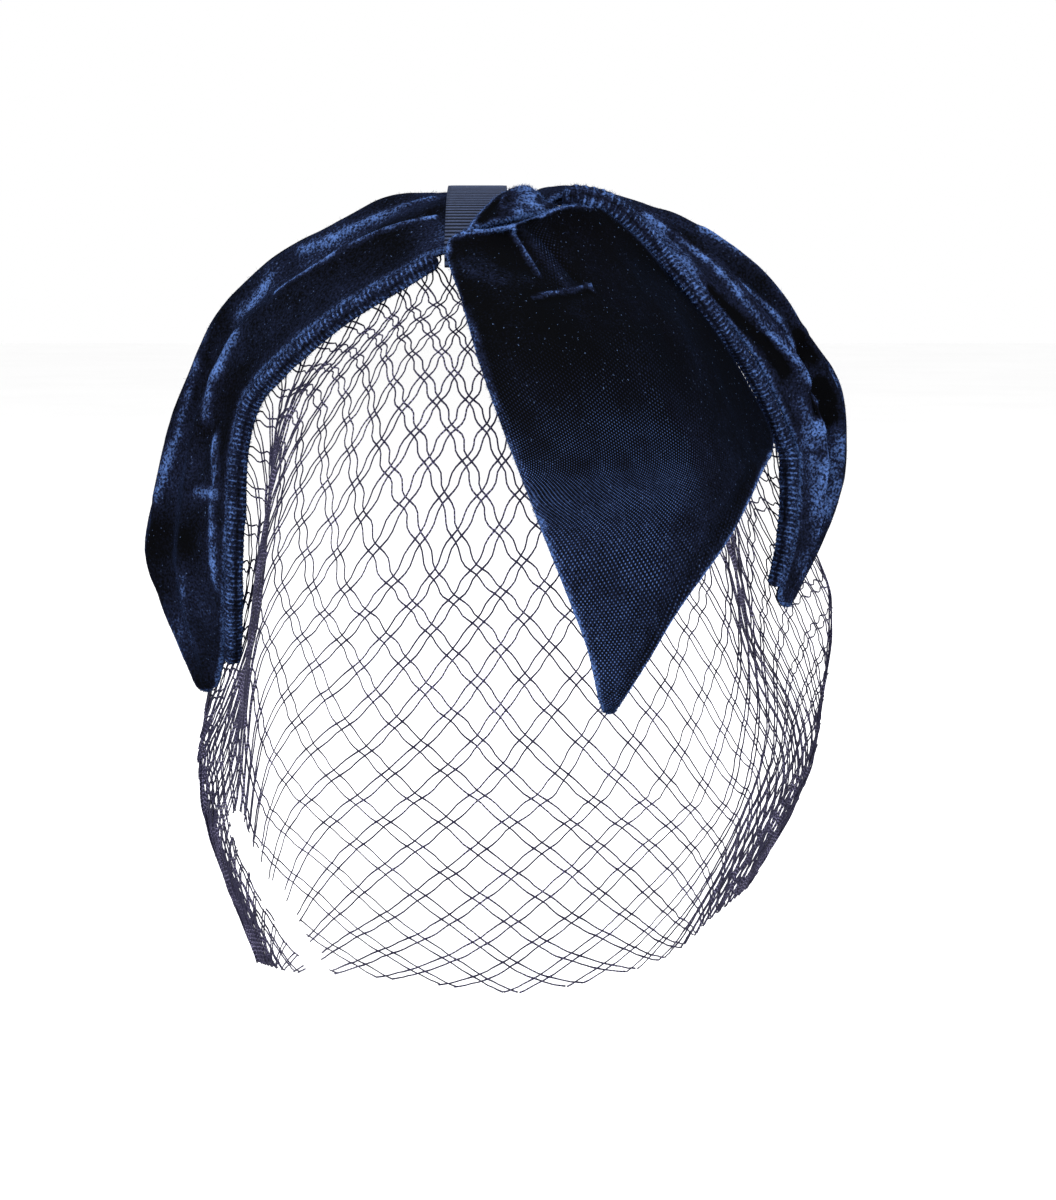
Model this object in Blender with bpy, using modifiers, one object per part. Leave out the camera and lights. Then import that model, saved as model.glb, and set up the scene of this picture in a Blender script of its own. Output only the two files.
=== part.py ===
"""Velvet half-hat with a face veil: two folded side bands, a ribbon at their join, a hanging leaf and a net.

Lengths in the tables are millimetres. +Z is up and the hat's front is -Y. The origin is the seat on the crown of
the head, under the ribbon. Left and right are as seen from the front.
"""

import math

import bmesh
import bpy
from mathutils import Vector

MM = 0.001

VELVET_WALL = 2.2
RIBBON_WALL = 0.9
ROLL_RADIUS = 2.5
SEAT_GAP = 0.35
JOIN_X = -4.8
JOIN_GAP = 0.4
RIBBON_SLACK = 0.9
RIBBON_WIDTH = 16.4
STRAND_WALL = 1.5
CREASE_DEGREES = 50

# A side band from the centre join down to its tip. Each row is one section: its front edge, its rear edge, how far
# it bows out between them, and how deep its folds are there.
BAND_COLUMNS = ("front_x", "front_y", "front_z", "rear_x", "rear_y", "rear_z", "bow", "fold")
LEFT_BAND = (
    (JOIN_X - JOIN_GAP / 2, -53, -17, JOIN_X - JOIN_GAP / 2, 14, -2.5, 6.5, 0.0),
    (-14, -53, -17, -14, 14, -2.5, 6.7, 0.0),
    (-26, -50, -23, -27.6, 18, -3.2, 6.8, 0.7),
    (-44, -44, -34, -46.5, 20, -11.8, 6.1, 1.0),
    (-59, -35, -46, -62.7, 22, -20.6, 6.2, 1.0),
    (-69, -27, -57, -75.3, 24, -34.2, 5.8, 1.0),
    (-73, -27, -72, -90, 26, -61.8, 5.2, 1.0),
    (-74, -28, -88, -97, 26, -82, 5.0, 1.0),
    (-75, -27, -103, -101.6, 24, -102, 4.4, 1.0),
    (-76, -21, -117, -97.5, 18, -116, 3.8, 0.7),
    (-77, -13, -130, -91, 9, -131, 2.5, 0.4),
    (-79.5, -4.5, -142.5, -86, 1.5, -143.5, 0.5, 0.0),
)
RIGHT_BAND = (
    (JOIN_X + JOIN_GAP / 2, -53, -17, JOIN_X + JOIN_GAP / 2, 14, -2.5, 6.5, 0.0),
    (4.6, -53, -17, 4.6, 14, -2.5, 6.5, 0.0),
    (11, -43, -12.5, 10, 14, -2.4, 5.6, 0.0),
    (16.5, -29.5, -2.2, 17, 14.5, -2.4, 2.4, 0.3),
    (30, -24, -2.4, 29.1, 17, -6.0, 2.6, 0.3),
    (42, -18, -10.5, 41.8, 18, -10.1, 3.5, 0.9),
    (49, -16, -17, 56.9, 20, -15.6, 4.9, 1.0),
    (61, -19, -31, 74.7, 22, -27.7, 6.1, 1.0),
    (75, -7, -49.5, 87.8, 24, -42.9, 6.5, 1.0),
    (84.5, 0.5, -69, 98.9, 26, -57.7, 5.2, 1.0),
    (87, 1.5, -79, 99.3, 26, -84, 4.1, 1.0),
    (85.5, -0.5, -100, 93.6, 22, -98.4, 3.4, 0.8),
    (80.5, -6, -117.5, 85.5, 8, -120, 1.0, 0.0),
)

# Folds that run along a band: where they lie between the front edge (0) and the rear edge (1) at the join and at
# the tip, how far they stand out, and how wide they are as a share of the section.
FOLD_COLUMNS = ("at_join", "at_tip", "height", "width")
LEFT_FOLDS = (
    (0.24, 0.36, 2.4, 0.07),
    (0.50, 0.62, -2.2, 0.08),
    (0.66, 0.80, 3.0, 0.07),
    (0.90, 0.93, 1.8, 0.06),
)
RIGHT_FOLDS = (
    (0.20, 0.26, 2.6, 0.06),
    (0.36, 0.44, -2.2, 0.06),
    (0.52, 0.62, 3.0, 0.06),
    (0.74, 0.80, -1.6, 0.06),
    (0.88, 0.92, 2.4, 0.05),
)

# The leaf that hangs over the brow. Each row joins a point of its left edge to one of its right edge, and says how
# far the middle stands forward of the straight line between them.
LEAF_COLUMNS = ("left_x", "left_y", "left_z", "right_x", "right_y", "right_z", "forward")
LEAF = (
    (-8, -56.7, -12.5, 29.2, -30.3, -6.2, 9.0),
    (-12.7, -60, -16.5, 38.3, -24.1, -12.5, 10.0),
    (-8.5, -73.5, -30, 48, -16.6, -23.1, 19.0),
    (-3.5, -87, -46.5, 59.6, -17.6, -37.2, 24.0),
    (2.5, -93.5, -63, 71.1, -5.4, -55.1, 29.0),
    (7, -96.5, -74.5, 78.5, -2.3, -71, 30.0),
    (10, -98, -82, 73.5, -33, -80, 18.0),
    (12.5, -98.5, -88.5, 64, -57, -94.5, 10.5),
    (19, -97.5, -105, 50, -76, -111.5, 5.0),
    (24.5, -94.5, -120, 41.5, -84, -124.5, 2.5),
    (27.5, -91.5, -133.5, 35, -88.5, -134, 1.0),
    (29, -91, -137, 32.5, -90, -137, 0.2),
)

# How squarely the leaf bulges between its edges.
LEAF_FULLNESS = 2.5
LEAF_WIDTH = 60.0
LEAF_HEIGHT = 135.0

# Tucks in the leaf: a line from one place to another, counted across (0 left to 1 right) and down (0 top to 1 tip),
# with its height and its width in millimetres.
TUCK_COLUMNS = ("across_a", "down_a", "across_b", "down_b", "height", "width")
LEAF_TUCKS = (
    (0.36, 0.00, 0.46, 0.15, 2.4, 3.0),
    (0.50, 0.02, 0.56, 0.17, -1.8, 3.5),
    (0.34, 0.19, 0.66, 0.17, 1.8, 2.5),
)

# The fold of the leaf that doubles back over the ribbon, from its foot behind the leaf's top up to the crown.
CROWN_FOLD_COLUMNS = ("left_x", "left_y", "left_z", "right_x", "right_y", "right_z", "swell")
CROWN_FOLD = (
    (-7.2, -53, -11.4, 21.5, -37.3, -6.6, 1.0),
    (-5.7, -48.5, -9.0, 18.6, -36.9, -5.2, 1.6),
    (-3.6, -44, -6.6, 15.1, -35.5, -4.1, 2.0),
    (-0.7, -38.5, -3.8, 13.5, -33.5, -2.4, 2.0),
    (2.3, -34.5, -2.0, 12.1, -32, -1.3, 1.5),
    (3.9, -31.5, -0.8, 11, -31, -0.6, 1.0),
)
CROWN_FOLD_SWELLS = Vector((0, -0.5, 0.8))

# The veil in columns from its left end to its right end, each at the brow, the cheek, the jaw and the hem.
VEIL = (
    ("left_end", (-84.5, 3, -155), (-85, -2, -166), (-81, -7, -186), (-67, -20, -218)),
    ("left_temple", (-66.5, -21, -118), (-71.5, -28, -150), (-70, -34, -184), (-57, -42, -216)),
    ("left_brow", (-57, -52, -70), (-62, -58, -112), (-57, -64, -165), (-38, -68, -211.5)),
    ("left_front", (-31, -76, -54), (-33, -88, -105), (-29, -88, -160), (-16, -82, -211)),
    ("front", (2, -83, -50), (2, -95, -98), (3, -93, -158), (6, -88, -212)),
    ("right_front", (33, -69, -48), (35, -82, -98), (35, -82, -160), (27, -82, -210)),
    ("right_brow", (53, -43, -58), (63, -51, -110), (62, -60, -165), (47, -65, -207)),
    ("right_cheek", (70, -10, -86), (74.5, -9, -125), (79, -22, -160), (60, -38, -202)),
    ("right_end", (99, 33, -120), (97, 26, -145), (90, 12, -172), (72, -8, -199)),
)
# How each column starts inside a band: the place where it is sewn, then where it comes out under the edge. Each
# place is counted along the band in sections and across it, and lies in from the outer face by its inset.
SEWN_COLUMNS = ("band", "along", "across", "inset", "edge_along", "edge_across", "edge_inset")
VEIL_SEWN = (
    ("left", 8.8, 0.60, 3.8, 10.3, 0.70, 6.5),
    ("left", 6.6, 0.22, 4.4, 7.2, -0.05, 6.4),
    ("left", 4.2, 0.20, 4.0, 4.2, -0.05, 6.0),
    ("left", 2.2, 0.20, 3.6, 2.2, -0.05, 6.0),
    ("right", 0.6, 0.22, 6.4, 0.6, -0.06, 6.6),
    ("right", 4.0, 0.30, 6.0, 4.0, -0.05, 12.5),
    ("right", 6.0, 0.30, 4.4, 6.2, -0.05, 8.6),
    ("right", 8.2, 0.30, 4.4, 8.6, -0.04, 8.6),
    ("right", 9.6, 0.80, 4.0, 10.8, 0.85, 5.2),
)
VEIL_CELLS_ACROSS = 13
VEIL_CELLS_DOWN = 5

# Where the edge rolls start and end along their bands, counted in sections.
LEFT_ROLL = (1.1, 10.2)
RIGHT_ROLL = (3.1, 11.7)
# How thick each roll is from its start to its end, as shares of its usual radius.
LEFT_ROLL_SIZES = (0.9, 1.0, 1.0, 1.0, 0.9)
RIGHT_ROLL_SIZES = (1.35, 1.05, 0.85, 0.9, 1.0, 0.9)
# How far behind the front edge a place is taken to find which way the band runs there, as a share of the section.
EDGE_SAMPLE = 0.05
# How far apart two sections are taken to find a band's direction, in sections.
RUN_SAMPLE = 0.05
# Where the ribbon's lengthwise lines lie across it, as shares of its width.
RIBBON_LINES = (-0.5, -0.17, 0.17, 0.5)

# Faces across and down each sheet.
BAND_GRID = (14, 30)
LEAF_GRID = (16, 26)
CROWN_FOLD_GRID = (8, 8)
ROLL_STEPS = 30
RIBBON_STEPS = 10

COLLECTION = "fascinator"


def clear_scene():
    for obj in list(bpy.data.objects):
        bpy.data.objects.remove(obj)


def material(name, colour, roughness):
    made = bpy.data.materials.new(name)
    made.use_nodes = True
    shader = made.node_tree.nodes["Principled BSDF"]
    shader.inputs["Base Color"].default_value = (*colour, 1.0)
    shader.inputs["Roughness"].default_value = roughness
    shader.inputs["Metallic"].default_value = 0.0
    return made


def spline(rows, at):
    """The value of a smooth curve through rows of numbers, at a place counted in rows."""
    last = len(rows) - 1
    at = min(max(at, 0.0), float(last))
    k = min(int(at), last - 1)
    f = at - k
    before, a, b, after = (rows[min(max(i, 0), last)] for i in (k - 1, k, k + 1, k + 2))
    return [
        0.5 * (2 * q + (r - p) * f + (2 * p - 5 * q + 4 * r - s) * f**2 + (3 * q - p - 3 * r + s) * f**3)
        for p, q, r, s in zip(before, a, b, after)
    ]


def bump(distance, width):
    return math.exp(-((distance / width) ** 2))


def band_point(rows, folds, side, along, across):
    """A point of a band's outer face, and the direction that points out of it."""
    row = dict(zip(BAND_COLUMNS, spline(rows, along)))
    front = Vector((row["front_x"], row["front_y"], row["front_z"]))
    rear = Vector((row["rear_x"], row["rear_y"], row["rear_z"]))
    low = spline(rows, along - RUN_SAMPLE)
    high = spline(rows, along + RUN_SAMPLE)
    run = Vector(high[:3]) + Vector(high[3:6]) - Vector(low[:3]) - Vector(low[3:6])
    out = (rear - front).cross(run).normalized() * side
    rise = row["bow"] * 4 * across * (1 - across)
    share = along / (len(rows) - 1)
    for fold in (dict(zip(FOLD_COLUMNS, values)) for values in folds):
        middle = fold["at_join"] + (fold["at_tip"] - fold["at_join"]) * share
        rise += max(row["fold"], 0.0) * fold["height"] * bump(across - middle, fold["width"])
    return front.lerp(rear, across) + out * rise, out


def left_band_point(along, across):
    return band_point(LEFT_BAND, LEFT_FOLDS, 1, along, across)


def right_band_point(along, across):
    return band_point(RIGHT_BAND, RIGHT_FOLDS, -1, along, across)


def segment_place(point, a, b):
    """How far point lies from the segment a-b, in the plane."""
    run = b - a
    f = min(max((point - a).dot(run) / run.length_squared, 0.0), 1.0)
    return (point - a - run * f).length


def leaf_point(across, down):
    """A point of the leaf's front face. Both places run from 0 to 1."""
    row = dict(zip(LEAF_COLUMNS, spline(LEAF, down * (len(LEAF) - 1))))
    left = Vector((row["left_x"], row["left_y"], row["left_z"]))
    right = Vector((row["right_x"], row["right_y"], row["right_z"]))
    forward = row["forward"] * (1 - abs(2 * across - 1) ** LEAF_FULLNESS)
    here = Vector((across * LEAF_WIDTH, down * LEAF_HEIGHT))
    for tuck in (dict(zip(TUCK_COLUMNS, values)) for values in LEAF_TUCKS):
        start = Vector((tuck["across_a"] * LEAF_WIDTH, tuck["down_a"] * LEAF_HEIGHT))
        end = Vector((tuck["across_b"] * LEAF_WIDTH, tuck["down_b"] * LEAF_HEIGHT))
        forward += tuck["height"] * bump(segment_place(here, start, end), tuck["width"])
    return left.lerp(right, across) + Vector((0, -forward, 0))


def crown_fold_point(across, down):
    """A point of the crown fold's outer face, down from 0 at the crown to 1 at its foot."""
    row = dict(zip(CROWN_FOLD_COLUMNS, spline(CROWN_FOLD, (1 - down) * (len(CROWN_FOLD) - 1))))
    left = Vector((row["left_x"], row["left_y"], row["left_z"]))
    right = Vector((row["right_x"], row["right_y"], row["right_z"]))
    swell = row["swell"] * 4 * across * (1 - across)
    return left.lerp(right, across) + CROWN_FOLD_SWELLS * swell


def veil_start(column):
    """Where a column of the veil is sewn inside a band, and where it passes under the band's edge."""
    sewn = dict(zip(SEWN_COLUMNS, VEIL_SEWN[column]))
    point_at = left_band_point if sewn["band"] == "left" else right_band_point
    top, out = point_at(sewn["along"], sewn["across"])
    edge, edge_out = point_at(sewn["edge_along"], sewn["edge_across"])
    return [top - out * sewn["inset"], edge - edge_out * sewn["edge_inset"]]


def veil_point(across, down):
    """A point of the veil: across from 0 at its left end to 1 at its right end, down from 0 at the bands to 1."""
    columns = []
    for i, (_, *levels) in enumerate(VEIL):
        columns.append(spline(veil_start(i) + [Vector(level) for level in levels], down * (len(levels) + 1)))
    return Vector(spline(columns, across * (len(VEIL) - 1)))


def grid_mesh(name, point_at, grid):
    """An open sheet of quads through point_at(across, down), both from 0 to 1."""
    across_steps, down_steps = grid
    bm = bmesh.new()
    rows = [
        [bm.verts.new(point_at(i / across_steps, j / down_steps) * MM) for i in range(across_steps + 1)]
        for j in range(down_steps + 1)
    ]
    for upper, lower in zip(rows, rows[1:]):
        for i in range(across_steps):
            bm.faces.new((upper[i], lower[i], lower[i + 1], upper[i + 1]))
    return finished_mesh(bm, name)


def finished_mesh(bm, name):
    mesh = bpy.data.meshes.new(name)
    bm.to_mesh(mesh)
    bm.free()
    return mesh


def add_object(name, data, surface, home):
    obj = bpy.data.objects.new(name, data)
    data.materials.append(surface)
    home.objects.link(obj)
    return obj


def add_wall(obj, wall, offset):
    """Gives a sheet its thickness: offset -1 behind its face, 0 on both sides of it."""
    solidify = obj.modifiers.new("wall", "SOLIDIFY")
    solidify.thickness = wall * MM
    solidify.offset = offset
    solidify.use_even_offset = True
    obj.data.shade_smooth()
    obj.data.set_sharp_from_angle(angle=math.radians(CREASE_DEGREES))


def make_velvet(name, point_at, grid, surface, home):
    obj = add_object(name, grid_mesh(name, point_at, grid), surface, home)
    add_wall(obj, VELVET_WALL, -1.0)


def make_bands(surface, home):
    """The left band's sections run clockwise and the right band's the other way, so only the left is turned over."""

    def left_at(across, down):
        return left_band_point(down * (len(LEFT_BAND) - 1), 1 - across)[0]

    def right_at(across, down):
        return right_band_point(down * (len(RIGHT_BAND) - 1), across)[0]

    make_velvet("left_side_band", left_at, BAND_GRID, surface, home)
    make_velvet("right_side_band", right_at, BAND_GRID, surface, home)


def make_edge_roll(name, point_at, reach, sizes, surface, home):
    """The gathered binding, a soft roll just before a band's front edge."""
    curve = bpy.data.curves.new(name, "CURVE")
    curve.dimensions = "3D"
    curve.bevel_depth = ROLL_RADIUS * MM
    curve.bevel_resolution = 2
    curve.use_fill_caps = True
    start, end = reach
    line = curve.splines.new("POLY")
    line.points.add(ROLL_STEPS)
    for i, knot in enumerate(line.points):
        share = i / ROLL_STEPS
        along = start + (end - start) * share
        (knot.radius,) = spline([(size,) for size in sizes], share * (len(sizes) - 1))
        edge, out = point_at(along, 0.0)
        ahead = edge - point_at(along, EDGE_SAMPLE)[0]
        run = (point_at(along + RUN_SAMPLE, 0.0)[0] - point_at(along - RUN_SAMPLE, 0.0)[0]).normalized()
        ahead = (ahead - run * ahead.dot(run)).normalized()
        centre = edge + ahead * (ROLL_RADIUS * knot.radius + SEAT_GAP) - out * VELVET_WALL / 2
        knot.co = (*(centre * MM), 1.0)
    add_object(name, curve, surface, home)


def ribbon_path():
    """The ribbon's closed way round the join: over the bands, round their rear edges, under them and back."""
    over = SEAT_GAP + RIBBON_SLACK + RIBBON_WALL / 2
    under = VELVET_WALL + over
    top = [left_band_point(0.0, k / RIBBON_STEPS) for k in range(RIBBON_STEPS + 1)]
    ends = []
    for edge, inner in ((top[-1], top[-2]), (top[0], top[1])):
        away = (edge[0] - inner[0]).normalized()
        middle = edge[0] - edge[1] * VELVET_WALL / 2
        ends.append(middle + away * (VELVET_WALL / 2 + over))
    above = [p + out * over for p, out in top]
    below = [p - out * under for p, out in reversed(top)]
    return above + ends[:1] + below + ends[1:]


def make_ribbon(surface, home):
    bm = bmesh.new()
    loops = []
    for share in RIBBON_LINES:
        x = JOIN_X + share * RIBBON_WIDTH
        loops.append([bm.verts.new(Vector((x, p.y, p.z)) * MM) for p in ribbon_path()])
    count = len(loops[0])
    for left, right in zip(loops, loops[1:]):
        for i in range(count):
            j = (i + 1) % count
            bm.faces.new((left[i], right[i], right[j], left[j]))
    obj = add_object("centre_ribbon", finished_mesh(bm, "centre_ribbon"), surface, home)
    add_wall(obj, RIBBON_WALL, 0.0)


def make_veil(surface, home):
    """The net, a sheet of diamonds of which only the edges are left, with a cord along its border."""
    bm = bmesh.new()
    most_i, most_j = 2 * VEIL_CELLS_ACROSS, 2 * VEIL_CELLS_DOWN
    knots = {}

    def knot(i, j):
        """Knot i half-cells across and j half-cells down."""
        if (i, j) not in knots:
            knots[(i, j)] = bm.verts.new(veil_point(i / most_i, j / most_j) * MM)
        return knots[(i, j)]

    for j in range(0, most_j + 1):
        for i in range(j % 2, most_i + 1, 2):
            corners = [(i - 1, j), (i, j + 1), (i + 1, j), (i, j - 1)]
            inside = [c for c in corners if 0 <= c[0] <= most_i and 0 <= c[1] <= most_j]
            if len(inside) == 4:
                bm.faces.new([knot(*c) for c in inside])
    bmesh.ops.recalc_face_normals(bm, faces=bm.faces)
    obj = add_object("face_veil", finished_mesh(bm, "face_veil"), surface, home)
    wire = obj.modifiers.new("net", "WIREFRAME")
    wire.thickness = STRAND_WALL * MM
    wire.use_even_offset = False
    wire.use_boundary = True


def build():
    clear_scene()
    home = bpy.data.collections.new(COLLECTION)
    bpy.context.scene.collection.children.link(home)
    velvet = material("navy_velvet", (0.012, 0.022, 0.075), 0.75)
    binding = material("navy_binding", (0.014, 0.026, 0.085), 0.7)
    grosgrain = material("navy_ribbon", (0.035, 0.045, 0.085), 0.55)
    net = material("navy_net", (0.03, 0.028, 0.06), 0.6)
    make_bands(velvet, home)
    make_edge_roll("left_edge_roll", left_band_point, LEFT_ROLL, LEFT_ROLL_SIZES, binding, home)
    make_edge_roll("right_edge_roll", right_band_point, RIGHT_ROLL, RIGHT_ROLL_SIZES, binding, home)
    make_ribbon(grosgrain, home)
    make_velvet("front_leaf", leaf_point, LEAF_GRID, velvet, home)
    make_velvet("crown_fold", crown_fold_point, CROWN_FOLD_GRID, velvet, home)
    make_veil(net, home)


build()
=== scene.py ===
"""The looks of the velvet half-hat: folded velvet, ribbed binding and ribbon, and a net of paired threads.

Lengths in the tables are millimetres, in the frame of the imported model.
"""

import itertools
import math

import bpy
import numpy as np
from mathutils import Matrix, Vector


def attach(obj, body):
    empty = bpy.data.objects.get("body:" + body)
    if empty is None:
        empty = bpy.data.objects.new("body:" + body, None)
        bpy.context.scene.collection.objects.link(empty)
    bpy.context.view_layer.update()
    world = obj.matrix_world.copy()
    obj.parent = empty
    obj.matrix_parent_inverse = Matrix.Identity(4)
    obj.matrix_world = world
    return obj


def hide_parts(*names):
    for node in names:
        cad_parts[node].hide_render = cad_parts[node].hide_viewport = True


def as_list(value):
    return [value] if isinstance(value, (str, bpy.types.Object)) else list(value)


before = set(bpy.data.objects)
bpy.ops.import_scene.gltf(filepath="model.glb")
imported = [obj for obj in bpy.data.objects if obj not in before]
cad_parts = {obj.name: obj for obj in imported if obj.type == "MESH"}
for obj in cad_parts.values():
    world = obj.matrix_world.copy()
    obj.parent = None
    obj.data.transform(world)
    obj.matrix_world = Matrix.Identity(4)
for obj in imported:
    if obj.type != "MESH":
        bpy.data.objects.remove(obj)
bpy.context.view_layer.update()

MM = 0.001

# the camera: straight ahead and a little above, about a metre away
LOOK_AT = Vector((9.4, 0, -117)) * MM
CAMERA_DISTANCE = 1.0
CAMERA_ELEVATION = math.radians(6)
VIEW_ANGLE = math.radians(19.5)
FLOOR_Z = -0.232
FLOOR_HALF = 6.0
# the lights: name, place, size, watts
LIGHTS = (
    ("key", (-0.7, -1.1, 0.75), 0.7, 22),
    ("fill", (1.0, -0.9, 0.25), 0.9, 10),
    ("top", (0.2, 0.5, 1.2), 0.8, 16),
)

# the forms, as in the model's source
VELVET_WALL = 2.2
RIBBON_WALL = 0.9
ROLL_RADIUS = 2.5
SEAT_GAP = 0.35
JOIN_X = -4.8
JOIN_GAP = 0.4
RIBBON_SLACK = 0.9
RIBBON_WIDTH = 16.4
# the ribbon's ribs, and the steps of its mesh along a rib's pitch and across the ribbon
RIB_PITCH = 1.9
RIB_HEIGHT = 0.13
RIB_STEPS = 12
RIBBON_COLUMNS = 12
# points along a line on which the velvet's lengths are measured
SAMPLES = 60
# the shine of the velvet's inner side, and the pile's single fibres
INNER_SHINE = 0.12
FIBRE_LENGTHS = (0.5, 1.15)
FIBRE_RADII = (0.035, 0.06)
# the dotted weave that shows through the leaf's pile: pitch across, pitch down, turn in degrees
WEAVE = (1.35, 1.5, 14)

# from the join to the tip: front edge, rear edge, bow, depth of the folds
LEFT_BAND = (
    (JOIN_X - JOIN_GAP / 2, -53, -17, JOIN_X - JOIN_GAP / 2, 14, -2.5, 6.5, 0.0),
    (-14, -53, -17, -14, 14, -2.5, 6.7, 0.0),
    (-26, -50, -23, -27.6, 18, -3.2, 6.8, 0.7),
    (-44, -44, -34, -46.5, 20, -11.8, 6.1, 1.0),
    (-59, -35, -46, -62.7, 22, -20.6, 6.2, 1.0),
    (-69, -27, -57, -75.3, 24, -34.2, 5.8, 1.0),
    (-73, -27, -72, -90, 26, -61.8, 5.2, 1.0),
    (-74, -28, -88, -97, 26, -82, 5.0, 1.0),
    (-75, -27, -103, -101.6, 24, -102, 4.4, 1.0),
    (-76, -21, -117, -97.5, 18, -116, 3.8, 0.7),
    (-77, -13, -130, -91, 9, -131, 2.5, 0.4),
    (-79.5, -4.5, -142.5, -86, 1.5, -143.5, 0.5, 0.0),
)
RIGHT_BAND = (
    (JOIN_X + JOIN_GAP / 2, -53, -17, JOIN_X + JOIN_GAP / 2, 14, -2.5, 6.5, 0.0),
    (4.6, -53, -17, 4.6, 14, -2.5, 6.5, 0.0),
    (11, -43, -12.5, 10, 14, -2.4, 5.6, 0.0),
    (16.5, -29.5, -2.2, 17, 14.5, -2.4, 2.4, 0.3),
    (30, -24, -2.4, 29.1, 17, -6.0, 2.6, 0.3),
    (42, -18, -10.5, 41.8, 18, -10.1, 3.5, 0.9),
    (49, -16, -17, 56.9, 20, -15.6, 4.9, 1.0),
    (61, -19, -31, 74.7, 22, -27.7, 6.1, 1.0),
    (75, -7, -49.5, 87.8, 24, -42.9, 6.5, 1.0),
    (84.5, 0.5, -69, 98.9, 26, -57.7, 5.2, 1.0),
    (87, 1.5, -79, 99.3, 26, -84, 4.1, 1.0),
    (85.5, -0.5, -100, 93.6, 22, -98.4, 3.4, 0.8),
    (80.5, -6, -117.5, 85.5, 8, -120, 1.0, 0.0),
)
# place at the join, place at the tip, height, width
LEFT_FOLDS = (
    (0.24, 0.36, 2.4, 0.07),
    (0.50, 0.62, -2.2, 0.08),
    (0.66, 0.80, 3.0, 0.07),
    (0.90, 0.93, 1.8, 0.06),
)
RIGHT_FOLDS = (
    (0.20, 0.26, 2.6, 0.06),
    (0.36, 0.44, -2.2, 0.06),
    (0.52, 0.62, 3.0, 0.06),
    (0.74, 0.80, -1.6, 0.06),
    (0.88, 0.92, 2.4, 0.05),
)
# from the top down: left edge, right edge, how far the middle stands forward
LEAF = (
    (-8, -56.7, -12.5, 29.2, -30.3, -6.2, 9.0),
    (-12.7, -60, -16.5, 38.3, -24.1, -12.5, 10.0),
    (-8.5, -73.5, -30, 48, -16.6, -23.1, 19.0),
    (-3.5, -87, -46.5, 59.6, -17.6, -37.2, 24.0),
    (2.5, -93.5, -63, 71.1, -5.4, -55.1, 29.0),
    (7, -96.5, -74.5, 78.5, -2.3, -71, 30.0),
    (10, -98, -82, 73.5, -33, -80, 18.0),
    (12.5, -98.5, -88.5, 64, -57, -94.5, 10.5),
    (19, -97.5, -105, 50, -76, -111.5, 5.0),
    (24.5, -94.5, -120, 41.5, -84, -124.5, 2.5),
    (27.5, -91.5, -133.5, 35, -88.5, -134, 1.0),
    (29, -91, -137, 32.5, -90, -137, 0.2),
)
LEAF_FULLNESS = 2.5
# the leaf's top edge rises to the right roll: how far, and where it does
LEAF_TOP_RISE = (2.8, 0.74, 0.22)
# how far the leaf's right edge reaches to the roll: place down, reach
LEAF_REACH = ((0, 0.35), (0.12, 0.7), (0.22, 0.8), (0.30, 1.2), (0.40, 1.3), (0.45, 1.2), (0.52, 0))
# the rounded part of a band's tip, as a share of its length, and how far its corners are cut
TIP_SHARE = 0.025
TIP_ROUNDNESS = 0.9
# from its foot behind the leaf's top up to the crown: left edge, right edge, swell
CROWN_FOLD = (
    (-7.2, -53, -11.4, 21.5, -37.3, -6.6, 1.0),
    (-5.7, -48.5, -9.0, 18.6, -36.9, -5.2, 1.6),
    (-3.6, -44, -6.6, 15.1, -35.5, -4.1, 2.0),
    (-0.7, -38.5, -3.8, 13.5, -33.5, -2.4, 2.0),
    (2.3, -34.5, -2.0, 12.1, -32, -1.3, 1.5),
    (3.9, -31.5, -0.8, 11, -31, -0.6, 1.0),
)
CROWN_FOLD_SWELLS = (0, -0.5, 0.8)
# the veil's columns from its left end to its right one, each at the brow, the cheek, the jaw and the hem
VEIL = (
    ((-84.5, 3, -155), (-85, -2, -166), (-81, -7, -186), (-67, -20, -218)),
    ((-66.5, -21, -118), (-71.5, -28, -150), (-70, -34, -184), (-57, -42, -216)),
    ((-57, -52, -70), (-62, -58, -112), (-57, -64, -165), (-38, -68, -211.5)),
    ((-31, -76, -54), (-33, -88, -105), (-29, -88, -160), (-16, -82, -211)),
    ((2, -83, -50), (2, -95, -98), (3, -93, -158), (6, -88, -212)),
    ((33, -69, -48), (35, -82, -98), (35, -82, -160), (27, -82, -210)),
    ((53, -43, -58), (63, -51, -110), (62, -60, -165), (47, -65, -207)),
    ((70, -10, -86), (74.5, -9, -125), (79, -22, -160), (60, -38, -202)),
    ((99, 33, -120), (97, 26, -145), (90, 12, -172), (72, -8, -199)),
)
# band, place where a column of the net is sewn (along, across, inset), place where it leaves the band
VEIL_SEWN = (
    ("left", 8.8, 0.60, 3.8, 10.3, 0.70, 6.5),
    ("left", 6.6, 0.22, 4.4, 7.2, -0.05, 6.4),
    ("left", 4.2, 0.20, 4.0, 4.2, -0.05, 6.0),
    ("left", 2.2, 0.20, 3.6, 2.2, -0.05, 6.0),
    ("right", 0.6, 0.22, 6.4, 0.6, -0.06, 6.6),
    ("right", 4.0, 0.30, 6.0, 4.0, -0.05, 12.5),
    ("right", 6.0, 0.30, 4.4, 6.2, -0.05, 8.6),
    ("right", 8.2, 0.30, 4.4, 8.6, -0.04, 8.6),
    ("right", 9.6, 0.80, 4.0, 10.8, 0.85, 5.2),
)
LEFT_ROLL = (1.1, 10.2)
RIGHT_ROLL = (3.1, 11.7)
LEFT_ROLL_SIZES = (0.9, 1.0, 1.0, 1.0, 0.9)
RIGHT_ROLL_SIZES = (1.35, 1.05, 0.85, 0.9, 1.0, 0.9)
# how far the rolls' surface stands off the bands, and how full they are
ROLL_SEAT = 0.05
ROLL_FULLNESS = 1.08
ROLL_STEPS = 1300
ROLL_SIDES = 16
ROLL_FIBRES = 6000
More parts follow.
